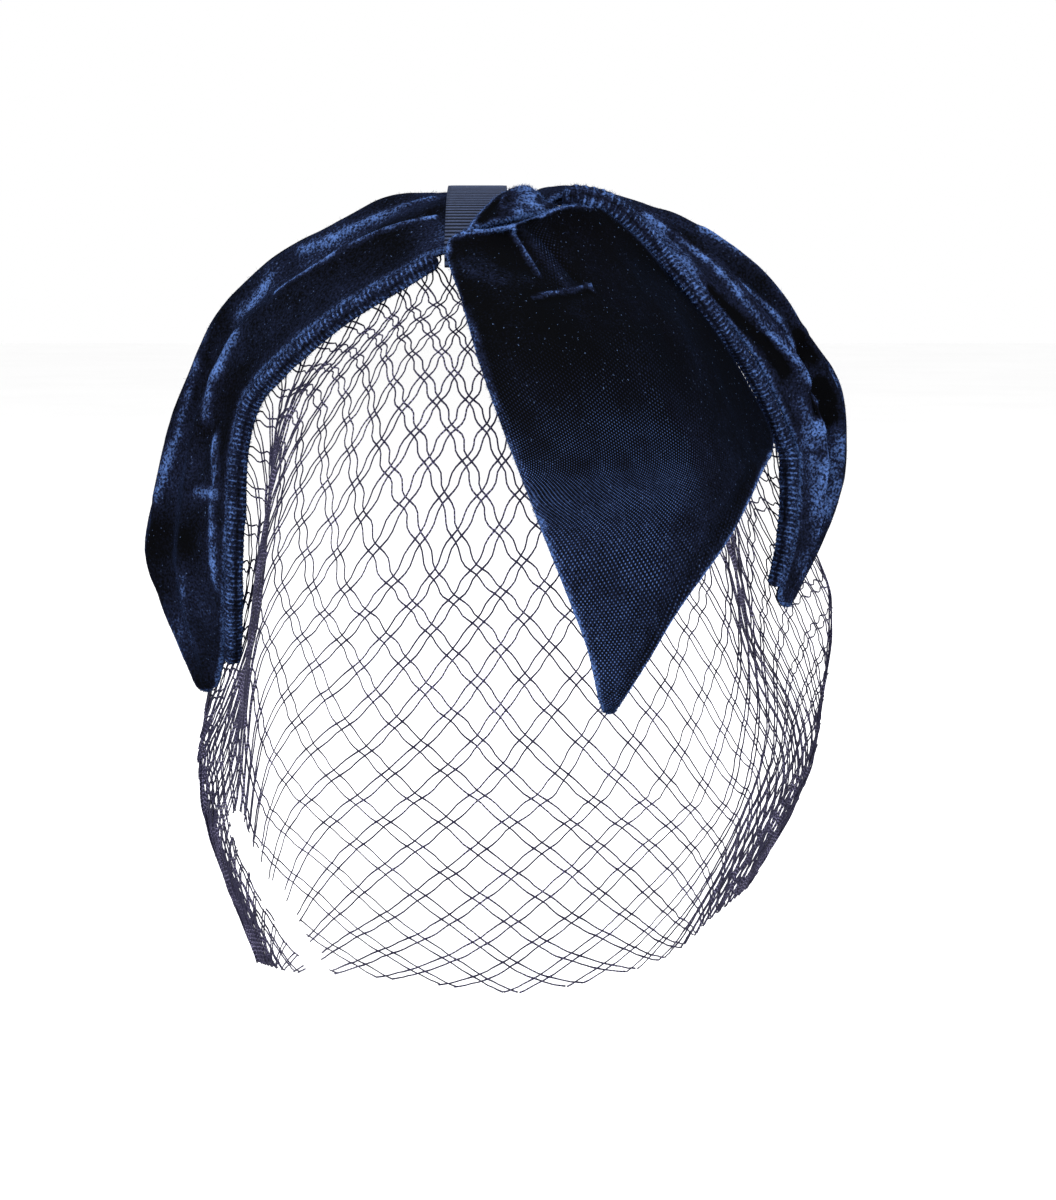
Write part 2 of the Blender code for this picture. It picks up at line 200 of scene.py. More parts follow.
# heights as shares of the radius: gathers, the groove between their rows, lumps, and the swell at the band
ROLL_GATHER = 0.065
ROLL_GROOVE = 0.13
ROLL_LUMP = 0.07
ROLL_SWELL = 0.08
# the pitch of the gathers: share of the roll's length, pitch
LEFT_PITCHES = ((0, 1.5), (1, 1.4))
RIGHT_PITCHES = ((0, 2.5), (0.10, 2.4), (0.16, 1.5), (1, 1.4))

# Ridges and dents that are finer than the model's, and the painted sheen along them (painted highlight on
# ridges, painted shade along dents where it is below zero): height, width, painted light, width of the
# painted light, places. A place is (along, across) on a band, in rows of its table, and (across, down) on
# the leaf and the crown fold, from 0 to 1.
LEFT_STROKES = (
    (0.9, 1.3, 1.1, 1.0, ((3.7, 0.34), (2.65, 0.28), (1.75, 0.25), (1.1, 0.26))),
    (-0.8, 1.6, 0.0, 1.0, ((3.6, 0.40), (2.65, 0.34), (1.75, 0.31), (1.1, 0.32))),
    (0.7, 1.4, 0.80, 1.8, ((3.3, 0.64), (2.2, 0.58), (1.15, 0.55))),
    (0.4, 3.0, 0.8, 2.8, ((4.0, 0.62), (4.3, 0.58), (4.6, 0.60))),
    (0.6, 2.2, 0.85, 2.2, ((4.6, 0.29), (4.95, 0.26), (5.2, 0.28))),
    (0.5, 2.0, 0.75, 2.0, ((5.3, 0.28), (5.75, 0.25))),
    (0.8, 1.8, 1.0, 1.6, ((6.0, 0.14), (6.35, 0.12), (6.75, 0.09), (7.1, 0.12), (7.75, 0.10), (8.5, 0.07))),
    (0.6, 1.6, 0.8, 1.5, ((6.95, 0.24), (6.9, 0.17), (6.85, 0.10))),
    (-0.7, 2.2, 0.0, 1.0, ((5.6, 0.16), (6.2, 0.20), (6.6, 0.28))),
    (0.3, 2.0, 0.75, 1.6, ((4.3, 0.82), (5.3, 0.72), (6.0, 0.68), (6.85, 0.70), (7.3, 0.73))),
    (0.2, 2.0, 0.25, 0.7, ((7.9, 0.78), (9.0, 0.82), (10.2, 0.90))),
    (0.3, 1.4, 0.35, 0.8, ((8.4, 0.30), (9.2, 0.36), (9.9, 0.48))),
)
RIGHT_STROKES = (
    (0.8, 1.2, 0.9, 0.9,
     ((4.9, 0.16), (5.6, 0.15), (6.4, 0.17), (7.0, 0.18), (7.6, 0.18), (8.1, 0.22), (8.8, 0.30))),
    (-0.8, 1.2, 0.0, 1.0, ((5.2, 0.21), (6.3, 0.23), (7.0, 0.25), (7.6, 0.26))),
    (0.8, 1.3, 0.9, 1.0, ((5.4, 0.30), (6.25, 0.33), (7.05, 0.42), (7.65, 0.47), (8.2, 0.43))),
    (-0.8, 1.5, 0.0, 1.0, ((6.3, 0.42), (7.1, 0.50), (7.8, 0.56))),
    (0.6, 1.6, 0.8, 1.4, ((6.1, 0.55), (7.05, 0.60), (7.9, 0.62))),
    (0.3, 3.0, 0.5, 3.0, ((5.2, 0.08), (5.9, 0.07), (6.5, 0.05))),
    (-0.9, 1.8, -0.7, 2.0, ((6.9, 0.02), (7.3, 0.05), (7.65, 0.11), (8.0, 0.13), (8.25, 0.15))),
    (-0.7, 1.6, -0.6, 1.8, ((7.9, 0.52), (8.3, 0.52))),
    (0.3, 2.0, 0.5, 2.6, ((8.7, 0.16), (9.2, 0.24))),
    (-1.6, 1.6, -0.6, 1.6, ((8.10, 0.50), (8.4, 0.36), (8.7, 0.26), (8.95, 0.22))),
    (-0.9, 2.6, -0.8, 2.6, ((8.7, 0.48), (9.1, 0.48))),
    (0.5, 2.4, 0.75, 4.0, ((9.2, 0.16), (9.9, 0.22), (10.7, 0.3), (11.4, 0.4))),
    (0.3, 2.4, 0.7, 3.4, ((9.4, 0.55), (10.0, 0.55), (10.7, 0.5))),
    (-0.5, 1.4, -0.5, 1.0, ((9.4, 0.36), (10.1, 0.40), (10.9, 0.44))),
    (0.3, 2.0, 0.6, 1.6, ((8.6, 0.86), (9.3, 0.82), (10.0, 0.86))),
)
LEAF_STROKES = (
    (1.1, 0.8, 0.95, 0.75, ((0.345, 0.01), (0.37, 0.08), (0.39, 0.12), (0.40, 0.155))),
    (0.5, 2.2, 0.15, 1.6, ((0.42, 0.05), (0.46, 0.12), (0.50, 0.18))),
    (-0.8, 1.4, -0.2, 1.0, ((0.46, 0.01), (0.52, 0.10), (0.56, 0.17))),
    (0.8, 0.40, 1.1, 0.42, ((0.33, 0.190), (0.42, 0.188), (0.52, 0.189), (0.60, 0.186))),
    (0.6, 0.7, 1.1, 0.6, ((0.592, 0.184), (0.602, 0.192))),
    (-0.5, 0.8, -0.3, 0.8, ((0.34, 0.198), (0.45, 0.198), (0.59, 0.197))),
    (1.1, 1.3, 1.1, 0.8, ((0.02, 0.10), (0.015, 0.055), (0.10, 0.022), (0.22, 0.014), (0.35, 0.016))),
    (0.3, 2.5, 0.16, 4.0, ((0.10, 0.13), (0.22, 0.15), (0.33, 0.16))),
    (0.2, 0.8, 0.8, 0.5, ((0.55, 0.010), (0.74, 0.008), (0.92, 0.010))),
    (0.1, 1.0, 0.45, 1.2, ((0.02, 0.20), (0.02, 0.50), (0.03, 0.90))),
    (0.3, 0.7, 1.1, 0.6, ((0.985, 0.48), (0.982, 0.60), (0.98, 0.75), (0.97, 0.93))),
    (-0.6, 1.4, -0.5, 1.6, ((0.94, 0.52), (0.90, 0.62), (0.88, 0.75), (0.84, 0.88))),
)
CROWN_FOLD_STROKES = (
    (0.3, 0.8, 1.1, 0.7, ((0.03, 0.97), (0.03, 0.75), (0.04, 0.5), (0.05, 0.25), (0.06, 0.05))),
    (0.5, 0.8, 0.55, 0.5, ((0.30, 0.45), (0.30, 0.65), (0.45, 0.85), (0.55, 0.98))),
    (0.4, 3.0, 1.2, 3.8, ((0.66, 0.05), (0.72, 0.35), (0.72, 0.60), (0.66, 0.80), (0.56, 0.95))),
    (-0.6, 1.2, -0.4, 1.2, ((0.15, 0.92), (0.18, 0.72), (0.22, 0.55))),
)

# half cells of the net, left and right of the middle of the front
NET_LEFT_HALVES = 34
NET_RIGHT_HALVES = 30
NET_ROWS = 15
# the row of knots at each of the veil's six levels
NET_LEVEL_ROWS = (0.0, 1.1, 3.6, 6.5, 10.4, 15.0)
# how dense the columns of knots are in the middle at each level, and how fast that fades to each side
NET_LEFT_MIDDLE = (1.0, 1.0, 1.0, 0.72, 0.48, 0.30)
NET_RIGHT_MIDDLE = (1.1, 1.1, 1.1, 0.82, 0.54, 0.34)
NET_LEFT_POWER = 9.0
NET_RIGHT_POWER = 3.0
# how far the two threads of a pair lie to each side of their middle, in half cells
NET_PAIR = 0.25
# how strongly the threads step sideways between two rows of knots: half rows down, strength
NET_JOG = ((0, 0.85), (11, 0.80), (16, 0.30), (30, 0.10))
# how uneven the cells are at the top and at the hem, in half cells
NET_UNEVEN = (0.30, 0.16)
THREAD_RADIUS = 0.23
THREAD_SIDES = 4
THREAD_STEPS = 6
THREAD_SLACK = 0.35
THREAD_CRINKLE = 0.22
# how far the threads of one direction lie above those of the other
THREAD_LAYER = 0.18
# the tear near the left end: a line in x and z, how far it is open, and the right and rear ends of its reach
TEAR = ((-71, -178), (-62, -194), (-46, -216))
TEAR_HALF_WIDTH = 3.4
TEAR_MOST_X = -40
TEAR_MOST_Y = 30
# the loose ropes of the net's side edges: side, strands, how far they spread
GATHERS = ((0.0, 6, 1.1), (1.0, 4, 0.7))
GATHER_STEPS = 150
# the net's pieces, from the left end to the right one, and the x where each begins
NET_PIECES = (("net_left", -1000), ("net_left_front", -45), ("net_right_front", 4), ("net_right", 55))


def spline(p, q, r, s, f):
    """The smooth curve's value between q and r, with the rows p before and s after them."""
    return 0.5 * (2 * q + (r - p) * f + (2 * p - 5 * q + 4 * r - s) * f**2 + (3 * q - p - 3 * r + s) * f**3)


def curve(rows, at):
    """The values of a smooth curve through rows of numbers, at places counted in rows."""
    rows = np.asarray(rows, float)
    last = len(rows) - 1
    at = np.clip(np.asarray(at, float), 0.0, last)
    k = np.minimum(at.astype(int), last - 1)
    f = (at - k).reshape(-1, *([1] * (rows.ndim - 1)))
    return spline(*(rows[np.clip(k + o, 0, last)] for o in (-1, 0, 1, 2)), f)


def bump(distance, width):
    return np.exp(-((distance / width) ** 2))


def unit(v):
    return v / np.maximum(np.linalg.norm(v, axis=-1, keepdims=True), 1e-12)


def smooth(value, start, end):
    f = np.clip((value - start) / (end - start), 0, 1)
    return f * f * (3 - 2 * f)


def band_point(rows, folds, side, along, across):
    """Points of a band's outer face, and the directions out of it."""
    run_sample = 0.05
    row = curve(rows, along)
    front, rear = row[:, 0:3], row[:, 3:6]
    run = curve(rows, along + run_sample) - curve(rows, along - run_sample)
    out = unit(np.cross(rear - front, run[:, 0:3] + run[:, 3:6])) * side
    rise = row[:, 6] * 4 * across * (1 - across)
    share = along / (len(rows) - 1)
    for at_join, at_tip, height, width in folds:
        middle = at_join + (at_tip - at_join) * share
        rise = rise + np.maximum(row[:, 7], 0) * height * bump(across - middle, width)
    return front + (rear - front) * across[:, None] + out * rise[:, None], out


def left_point(along, across):
    return band_point(LEFT_BAND, LEFT_FOLDS, 1, np.asarray(along, float), np.asarray(across, float))


def right_point(along, across):
    return band_point(RIGHT_BAND, RIGHT_FOLDS, -1, np.asarray(along, float), np.asarray(across, float))


def rounded_tip(across, down):
    """Draws the places of a band's last stretch in towards its middle, which rounds its tip."""
    near = np.clip(1 - (1 - down) / TIP_SHARE, 0, 1)
    return 0.5 + (across - 0.5) * np.sqrt(1 - TIP_ROUNDNESS * near**2)


def left_surface(across, down):
    return left_point(down * (len(LEFT_BAND) - 1), rounded_tip(across, down))[0]


def right_surface(across, down):
    return right_point(down * (len(RIGHT_BAND) - 1), rounded_tip(across, down))[0]


def leaf_surface(across, down):
    row = curve(LEAF, down * (len(LEAF) - 1))
    forward = row[:, 6] * (1 - np.abs(2 * across - 1) ** LEAF_FULLNESS)
    width = row[:, 3:6] - row[:, 0:3]
    rise, at, wide = LEAF_TOP_RISE
    rise = rise * bump(across - at, wide) * (1 - smooth(down, 0, 0.09))
    reach = np.interp(down, *zip(*LEAF_REACH)) * smooth(across, 0.9, 1.0)
    flat = row[:, 0:3] + width * across[:, None] + reach[:, None] * np.array((0.9, 0, 0))
    return flat + forward[:, None] * np.array((0, -1, 0)) + rise[:, None] * np.array((0, 0, 1))


def crown_fold_surface(across, down):
    row = curve(CROWN_FOLD, (1 - down) * (len(CROWN_FOLD) - 1))
    swell = row[:, 6] * 4 * across * (1 - across)
    flat = row[:, 0:3] + (row[:, 3:6] - row[:, 0:3]) * across[:, None]
    return flat + swell[:, None] * np.array(CROWN_FOLD_SWELLS)


def veil_columns():
    columns = []
    for (band, along, across, inset, edge_along, edge_across, edge_inset), levels in zip(VEIL_SEWN, VEIL):
        point = left_point if band == "left" else right_point
        places, outs = point([along, edge_along], [across, edge_across])
        starts = places - outs * np.array([[inset], [edge_inset]])
        columns.append(np.vstack([starts, np.array(levels, float)]))
    return np.array(columns)


VEIL_COLUMNS = veil_columns()


def veil_surface(across, down):
    """Points of the veil: across from left to right and down from the bands to the hem, each from 0 to 1."""
    levels = curve(VEIL_COLUMNS.transpose(1, 0, 2), down * (VEIL_COLUMNS.shape[1] - 1))
    last = VEIL_COLUMNS.shape[0] - 1
    at = np.clip(across * last, 0, last)
    k = np.minimum(at.astype(int), last - 1)
    f = (at - k)[:, None]
    i = np.arange(len(at))
    return spline(*(levels[i, np.clip(k + o, 0, last)] for o in (-1, 0, 1, 2)), f)


def value_noise(x, y, seed):
    """Smooth noise from -1 to 1 with a period of 1 in x and y."""
    size = 64
    table = np.random.default_rng(seed).uniform(-1, 1, (size, size))
    x, y = np.asarray(x, float), np.asarray(y, float)
    i, j = np.floor(x).astype(int), np.floor(y).astype(int)
    f, g = x - i, y - j
    f, g = f * f * (3 - 2 * f), g * g * (3 - 2 * g)
    a, b = table[i % size, j % size], table[(i + 1) % size, j % size]
    c, d = table[i % size, (j + 1) % size], table[(i + 1) % size, (j + 1) % size]
    return (a * (1 - f) + b * f) * (1 - g) + (c * (1 - f) + d * f) * g


def line_distance(points, line):
    """How far each point is from a line through the given points."""
    best = np.full(len(points), np.inf)
    for a, b in zip(line, line[1:]):
        d = b - a
        t = np.clip(((points - a) @ d) / max(d @ d, 1e-9), 0, 1)
        best = np.minimum(best, np.linalg.norm(points - a - t[:, None] * d, axis=1))
    return best


def new_mesh(name, points, faces, floats=(), uv=None):
    """A mesh from points in millimetres, with named point values and a UV per point."""
    mesh = bpy.data.meshes.new(name)
    counts = [len(f) for f in faces]
    corners = np.concatenate([np.asarray(f, np.int32).ravel() for f in faces])
    sizes = np.concatenate([np.full(n, np.asarray(f).shape[1], np.int32) for n, f in zip(counts, faces)])
    mesh.vertices.add(len(points))
    mesh.vertices.foreach_set("co", (np.asarray(points) * MM).astype(np.float32).ravel())
    mesh.loops.add(len(corners))
    mesh.loops.foreach_set("vertex_index", corners)
    mesh.polygons.add(len(sizes))
    mesh.polygons.foreach_set("loop_start", np.concatenate([[0], np.cumsum(sizes)[:-1]]).astype(np.int32))
    mesh.update(calc_edges=True)
    for key, values in floats:
        mesh.attributes.new(key, "FLOAT", "POINT").data.foreach_set("value", np.asarray(values, np.float32))
    if uv is not None:
        layer = mesh.uv_layers.new(name="cloth")
        layer.data.foreach_set("uv", np.asarray(uv, np.float32)[corners].ravel())
    mesh.shade_smooth()
    return mesh


def add_piece(name, mesh, surface, nodes=()):
    obj = bpy.data.objects.new(name, mesh)
    mesh.materials.append(surface)
    bpy.context.scene.collection.objects.link(obj)
    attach(obj, "root")
    if nodes:
        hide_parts(*nodes)
    return obj


def border_places(length, steps, radius):
    """Places from 0 to 1 along a line, closer together at its two rounded ends."""
    turns = radius * (1 - np.cos(np.radians([0, 22, 45, 67, 90])))
    inner = np.linspace(0, 1, steps + 1)[1:-1]
    ends = np.minimum(turns[None, :] / length[:, None], 0.45 * turns[None, :] / turns[-1])
    start = ends[:, -1:]
    middle = start + (1 - 2 * start) * inner[None, :]
    return np.hstack([ends, middle, 1 - ends[:, ::-1]])


def velvet_sheet(surface, strokes, steps, flip, seed, crush, painted_sheen_level, painted_edge_sheen):
    """A folded piece of velvet: its points, faces, painted light (painted sheen and shade), cloth
    coordinates and outward directions.
    """
    radius = VELVET_WALL / 2
    samples = np.linspace(0, 1, SAMPLES)
    down_line = np.array([surface(np.full(SAMPLES, a), samples) for a in (0.1, 0.5, 0.9)])
    down_length = np.linalg.norm(np.diff(down_line, axis=1), axis=2).sum(1).mean()
    downs = border_places(np.array([down_length]), steps[1], radius)[0]
    across_length = np.array([
        np.linalg.norm(np.diff(surface(samples, np.full(SAMPLES, d)), axis=0), axis=1).sum() for d in downs
    ])
    acrosses = border_places(across_length, steps[0], radius)
    rows, cols = acrosses.shape
    u = acrosses.ravel()
    v = np.repeat(downs, cols)
    base = surface(u, v)
    step = 1e-3
    du = surface(np.clip(u + step, 0, 1), v) - surface(np.clip(u - step, 0, 1), v)
    dv = surface(u, np.clip(v + step, 0, 1)) - surface(u, np.clip(v - step, 0, 1))
    normal = unit(np.cross(du, dv)) * (-1 if flip else 1)
    width = np.repeat(across_length, cols)
    edge_u = np.minimum(u, 1 - u) * width
    edge_v = np.minimum(v, 1 - v) * down_length
    edge = np.minimum(edge_u, edge_v)
    inside = smooth(edge, 0.5, 5.0)
    cloth = np.stack([(u - 0.5) * width, v * down_length], axis=1)
    lift = crush * inside * (
        value_noise(cloth[:, 0] / 9, cloth[:, 1] / 15, seed)
        + 0.5 * value_noise(cloth[:, 0] / 4.2, cloth[:, 1] / 7.5, seed + 1)
    )
    lift += 0.10 * crush * value_noise(cloth[:, 0] / 1.3, cloth[:, 1] / 1.9, seed + 2)
    # painted sheen: a level for the whole piece, in broad random patches
    painted_light = painted_sheen_level * (1 + 0.8 * value_noise(cloth[:, 0] / 13, cloth[:, 1] / 17, seed + 3))
    for height, across_width, stroke_painted_light, stroke_painted_light_width, places in strokes:
        places = np.array(places, float)
        line = surface(*curve(places, np.linspace(0, len(places) - 1, 8 * len(places))).T)
        away = line_distance(base, line)
        lift += height * bump(away, across_width) * smooth(edge, 0.2, 2.0)
        ragged = 0.75 + 0.5 * value_noise(cloth[:, 0] / 2.4, cloth[:, 1] / 2.4, seed + 4)
        # painted highlight along the ridges, and painted shade along the dents where the stroke's value is
        # below zero
        painted_light += stroke_painted_light * bump(away, stroke_painted_light_width) * ragged
    # painted sheen along the piece's edges
    painted_light += painted_edge_sheen * bump(edge, 1.1)
    round_u = np.clip(1 - edge_u / radius, 0, 1)
    round_v = np.clip(1 - edge_v / radius, 0, 1)
    half = radius * np.sqrt(np.clip((1 - round_u**2) * (1 - round_v**2), 0, 1))
    half *= 1 + 0.18 * bump(edge - 2.2, 1.4)
    middle = base - normal * radius + normal * lift[:, None]
    outer = middle + normal * half[:, None]
    inner = middle - normal * half[:, None]
    index = np.arange(rows * cols).reshape(rows, cols)
    keep = np.zeros((rows, cols), bool)
    keep[1:-1, 1:-1] = True
    under = index.copy()
    under[keep] = rows * cols + np.arange(keep.sum())
    flat = keep.ravel()
    points = np.vstack([outer, inner[flat]])
    faces = np.stack([index[:-1, :-1], index[1:, :-1], index[1:, 1:], index[:-1, 1:]], axis=-1)
    backs = np.stack([under[:-1, :-1], under[:-1, 1:], under[1:, 1:], under[1:, :-1]], axis=-1)
    faces, backs = faces.reshape(-1, 4), backs.reshape(-1, 4)
    if not flip:
        faces, backs = faces[:, ::-1], backs[:, ::-1]
    painted_light = np.clip(np.concatenate([painted_light, np.full(flat.sum(), INNER_SHINE)]), 0, 1.6)
    cloth = np.vstack([cloth, cloth[flat]])
    u, v = np.concatenate([u, u[flat]]), np.concatenate([v, v[flat]])
    normals = np.vstack([normal, -normal[flat]])
    area = np.interp(samples, downs, across_length).mean() * down_length
    return {
        "points": points, "faces": [faces, backs], "painted_light": painted_light, "cloth": cloth, "u": u, "v": v,
        "normals": normals, "edge": np.concatenate([edge, edge[flat]]),
        "size": (across_length.max(), down_length), "area": area,
    }


def fibres(name, sheet, count, seed, surface):
    """Single pile fibres that stand up from a velvet piece, most of them at its edges and where its painted
    sheen is strong.
    """
    draw = np.random.default_rng(seed)
    weight = 0.06 + 1.3 * bump(sheet["edge"], 0.9) + 0.5 * np.clip(sheet["painted_light"], 0, 1)
    chosen = draw.choice(len(weight), count, p=weight / weight.sum())
    roots = sheet["points"][chosen] + draw.normal(0, 0.25, (count, 3)) * 0.6
    lean = unit(sheet["normals"][chosen] + draw.normal(0, 0.55, (count, 3)))
    roots = roots - sheet["normals"][chosen] * 0.15
    length = draw.uniform(*FIBRE_LENGTHS, (count, 1))
    thick = draw.uniform(*FIBRE_RADII, (count, 1))
    side = unit(np.cross(lean, draw.normal(0, 1, (count, 3))))
    other = np.cross(lean, side)
    feet = [roots + thick * (math.cos(a) * side + math.sin(a) * other) for a in (0, 2.094, 4.189)]
    points = np.stack([*feet, roots + lean * length], axis=1).reshape(-1, 3)
    first = 4 * np.arange(count)[:, None]
    faces = [first + np.array(t) for t in ((0, 2, 1), (0, 1, 3), (1, 2, 3), (2, 0, 3))]
    # each fibre carries the painted sheen of its root, brightened at random
    painted_light = np.repeat(np.clip(sheet["painted_light"][chosen] + draw.uniform(0, 0.45, count), 0, 1.5), 4)
    mesh = new_mesh(name, points, faces, [("painted_light", painted_light)])
    return add_piece(name, mesh, surface)


def tube(line, normal, radius, sides):
    """Points and faces of a closed tube along a line. normal says where its first side is."""
    tangent = unit(np.gradient(line, axis=0))
    normal = unit(normal - tangent * (normal * tangent).sum(1, keepdims=True))
    other = np.cross(tangent, normal)
    angles = np.arange(sides) * 2 * math.pi / sides
    radius = np.broadcast_to(radius, (len(line), sides) if np.ndim(radius) == 2 else (len(line),))
    radius = radius if radius.ndim == 2 else np.repeat(radius[:, None], sides, axis=1)
    ring = (
        line[:, None, :]
        + radius[:, :, None] * np.cos(angles)[None, :, None] * normal[:, None, :]
        + radius[:, :, None] * np.sin(angles)[None, :, None] * other[:, None, :]
    )
    index = np.arange(len(line) * sides).reshape(len(line), sides)
    a, b = index[:-1], index[1:]
    walls = np.stack([a, np.roll(a, -1, 1), np.roll(b, -1, 1), b], axis=-1).reshape(-1, 4)
    start, end = len(line) * sides, len(line) * sides + 1
    points = np.vstack([ring.reshape(-1, 3), line[0], line[-1]])
    caps = [
        np.stack([np.roll(index[0], -1), index[0], np.full(sides, start)], axis=1),
        np.stack([index[-1], np.roll(index[-1], -1), np.full(sides, end)], axis=1),
    ]
    return points, walls, np.vstack(caps)


def joined(tubes):
    """Joins the points and faces of many tubes."""
    points, walls, caps, offset = [], [], [], 0
    for p, w, c in tubes:
        points.append(p)
        walls.append(w + offset)
        caps.append(c + offset)
        offset += len(p)
    return np.vstack(points), [np.vstack(walls), np.vstack(caps)]


class Graph:
    """A material's nodes. add() makes a node, and links or sets its inputs."""

    def __init__(self, name, roughness, sheen, tint, sheen_roughness, specular):
        self.material = bpy.data.materials.new(name)
        self.material.use_nodes = True
        self.tree = self.material.node_tree
        self.shader = self.tree.nodes["Principled BSDF"]
        self.shader.inputs["Roughness"].default_value = roughness
        self.shader.inputs["Sheen Weight"].default_value = sheen
        self.shader.inputs["Sheen Tint"].default_value = (*tint, 1)
        self.shader.inputs["Sheen Roughness"].default_value = sheen_roughness
        self.shader.inputs["Specular IOR Level"].default_value = specular

    def add(self, kind, *inputs, out=0, **settings):
        node = self.tree.nodes.new("ShaderNode" + kind)
        for key, value in settings.items():
            setattr(node, key, value)
        for slot, value in inputs:
            socket = node.inputs[slot]
            if isinstance(value, bpy.types.NodeSocket):
                self.tree.links.new(value, socket)
            else:
                socket.default_value = value
        return node.outputs[out]

    def math(self, operation, a, b=0.0):
        return self.add("Math", (0, a), (1, b), operation=operation)

    def value(self, name):
        return self.add("Attribute", out="Fac", attribute_name=name)

    def place(self):
        return self.add("TexCoord", out="Object")

    def noise(self, scale, detail=2.0, vector=None):
        vector = self.place() if vector is None else vector
        return self.add("TexNoise", ("Vector", vector), ("Scale", scale), ("Detail", detail))

    def remap(self, value, low, high, to_low=0.0, to_high=1.0):
        return self.add(
            "MapRange", ("Value", value), ("From Min", low), ("From Max", high), ("To Min", to_low),
            ("To Max", to_high), out="Result",
        )

    def mix(self, factor, a, b):
        a, b = (c if isinstance(c, bpy.types.NodeSocket) else (*c, 1) for c in (a, b))
        return self.add("Mix", (0, factor), (6, a), (7, b), out=2, data_type="RGBA")

    def bump(self, height, distance, strength, after=None):
        inputs = [("Height", height), ("Distance", distance), ("Strength", strength)]
        if after is not None:
            inputs.append(("Normal", after))
        return self.add("Bump", *inputs)

    def finish(self, colour, normal, roughness=None):
        self.tree.links.new(colour, self.shader.inputs["Base Color"])
        self.tree.links.new(normal, self.shader.inputs["Normal"])
        if roughness is not None:
            self.tree.links.new(roughness, self.shader.inputs["Roughness"])
        return self.material


# DEEP_NAVY is the velvet's own colour face-on; MID_NAVY and BRIGHT_NAVY are lit copies of it that paint its
# sheen, and the weave's dots use them too
DEEP_NAVY = (0.0016, 0.0017, 0.0021)
MID_NAVY = (0.0085, 0.0120, 0.0300)
BRIGHT_NAVY = (0.055, 0.106, 0.270)
PALE_BLUE = (0.20, 0.32, 0.62)
# the ribbon's navy: a darker copy as painted shade in the rib grooves, a lighter one as painted highlight on
# the rib crests
RIBBON_GROOVE_SHADE = (0.0015, 0.0022, 0.0050)
RIBBON_RIB_HIGHLIGHT = (0.031, 0.042, 0.080)
THREAD_DARK = (0.008, 0.007, 0.024)
THREAD_GLINT = (0.13, 0.12, 0.21)
THREAD_TWIST = 1.25
FLOOR_TONES = ((0.96, 0.96, 0.96), (0.98, 0.98, 0.98))


def velvet_material(name):
    g = Graph(name, 0.85, 0.02, (0.16, 0.34, 0.95), 0.3, 0.0)
    # grain and patch break the painted sheen into a grainy, patchy crushed look
    grain = g.remap(g.noise(1500, 3.0), 0.38, 0.64)
    patch = g.remap(g.noise(170, 3.0), 0.34, 0.68, 0.7, 1.15)
    painted_light = g.math("MULTIPLY", g.value("painted_light"), patch)
    lit = g.math("MULTIPLY", painted_light, g.math("ADD", g.math("MULTIPLY", grain, 1.05), 0.37))
    uv = g.add("UVMap", uv_map="cloth")
    pitch_across, pitch_down, turn = WEAVE
    turned = g.add("VectorRotate", ("Vector", uv), ("Angle", math.radians(turn)), rotation_type="Z_AXIS")
    parts = g.add("SeparateXYZ", ("Vector", turned), out=0)
    across = g.math("SINE", g.math("MULTIPLY", parts, 2 * math.pi / pitch_across))
    down = g.math("SINE", g.math("MULTIPLY", parts.node.outputs[1], 2 * math.pi / pitch_down))
    dots = g.remap(g.math("MULTIPLY", across, down), 0.40, 0.9)
    dots = g.math("MULTIPLY", dots, g.value("weave"))
    dots = g.math("MULTIPLY", dots, g.remap(g.noise(120, 3.0), 0.25, 0.65, 0.45, 1.0))
    lit = g.math("ADD", lit, g.math("MULTIPLY", dots, 0.95))
    # base colour painted from the painted light and the weave's dots: deep navy where unlit, lit copies of
    # it as painted sheen
    low = g.mix(g.remap(lit, 0.05, 0.50), DEEP_NAVY, MID_NAVY)
    colour = g.mix(g.remap(lit, 0.40, 1.25), low, BRIGHT_NAVY)
    specks = g.remap(g.noise(1500, 1.0), 0.740, 0.80)
    colour = g.mix(g.math("MULTIPLY", specks, 0.22), colour, PALE_BLUE)
    fine = g.bump(g.noise(2600, 2.0), 0.00025, 0.7)
    crush = g.bump(g.noise(520, 2.0), 0.0005, 0.35, fine)
    return g.finish(colour, crush, g.remap(grain, 0, 1, 0.75, 0.95))


def ribbon_material():
    g = Graph("grosgrain", 0.85, 0.03, (0.5, 0.6, 0.9), 0.4, 0.03)
    rib = g.remap(g.value("rib"), 0.25, 0.85)
    fleck = g.remap(g.noise(900, 2.0), 0.3, 0.7, 0.75, 1.25)
    # the ribbon's dark navy, painted darker in the grooves as shade and lighter on the rib crests as
    # highlight, varied at random by fleck
    colour = g.mix(g.math("MULTIPLY", rib, fleck), RIBBON_GROOVE_SHADE, RIBBON_RIB_HIGHLIGHT)
    return g.finish(colour, g.bump(g.noise(3000, 2.0), 0.0001, 0.5), g.remap(fleck, 0.75, 1.25, 0.80, 0.90))


def thread_material():
    g = Graph("net_thread", 0.6, 0.05, (0.7, 0.7, 1.0), 0.4, 0.15)
    twist = g.math("SINE", g.math("MULTIPLY", g.value("run"), 2 * math.pi / THREAD_TWIST))
    glint = g.remap(twist, 0.35, 0.95)
    glint = g.math("MULTIPLY", glint, g.remap(g.noise(120, 2.0), 0.42, 0.66))
    colour = g.mix(glint, THREAD_DARK, THREAD_GLINT)
    return g.finish(colour, g.bump(twist, 0.0001, 0.6), g.remap(glint, 0, 1, 0.6, 0.4))


def velvet_mesh(name, sheet, weave):
    return new_mesh(
        name, sheet["points"], sheet["faces"], [("painted_light", sheet["painted_light"]), ("weave", weave)], sheet["cloth"]
    )


RESTS_ON = {
    "left_side_band": ["ribbed_ribbon"],
    "right_side_band": ["ribbed_ribbon"],
    "front_leaf": ["right_ribbed_roll"],
    "crown_fold": ["right_velvet_band"],
}


